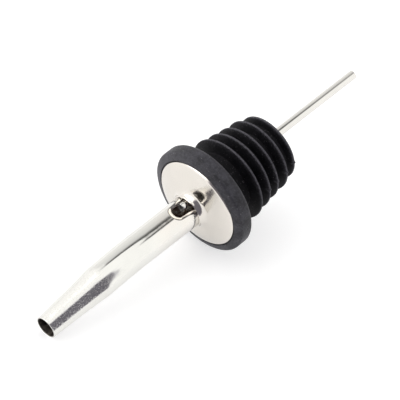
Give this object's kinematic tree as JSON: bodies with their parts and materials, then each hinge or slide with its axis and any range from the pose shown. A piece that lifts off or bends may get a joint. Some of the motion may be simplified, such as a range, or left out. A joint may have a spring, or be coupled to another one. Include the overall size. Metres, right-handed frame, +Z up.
{
  "type": "liquor pour spout",
  "caption": "Free-flow bottle pour spout: ribbed rubber stopper, domed steel cap, bent spout with a tapered tip and a vent notch, and a thin breather tube.",
  "frame": {"origin": "centre of the flange's sealing face, on the stopper's axis", "axes": "+Z up as the pourer lies on a bar top, on its flange rim and its spout tip, +Y towards the bottle end, spout pointing to -Y with its vent notch on top; the stopper's axis rises 10.2 degrees towards +Y"},
  "size_m": [0.031, 0.1146, 0.031],
  "materials": {
    "spout_steel": "polished stainless steel",
    "cap_steel": "polished stainless steel",
    "breather_steel": "bright drawn stainless steel",
    "solder": "dull tin solder",
    "stopper_rubber": "moulded matt rubber"
  },
  "bodies": {
    "root": {"spout_tube": "spout_steel", "cap_disc": "cap_steel", "cap_solder": "solder", "stopper": "stopper_rubber", "breather_tube": "breather_steel", "breather_solder": "solder"}
  },
  "joints": []
}
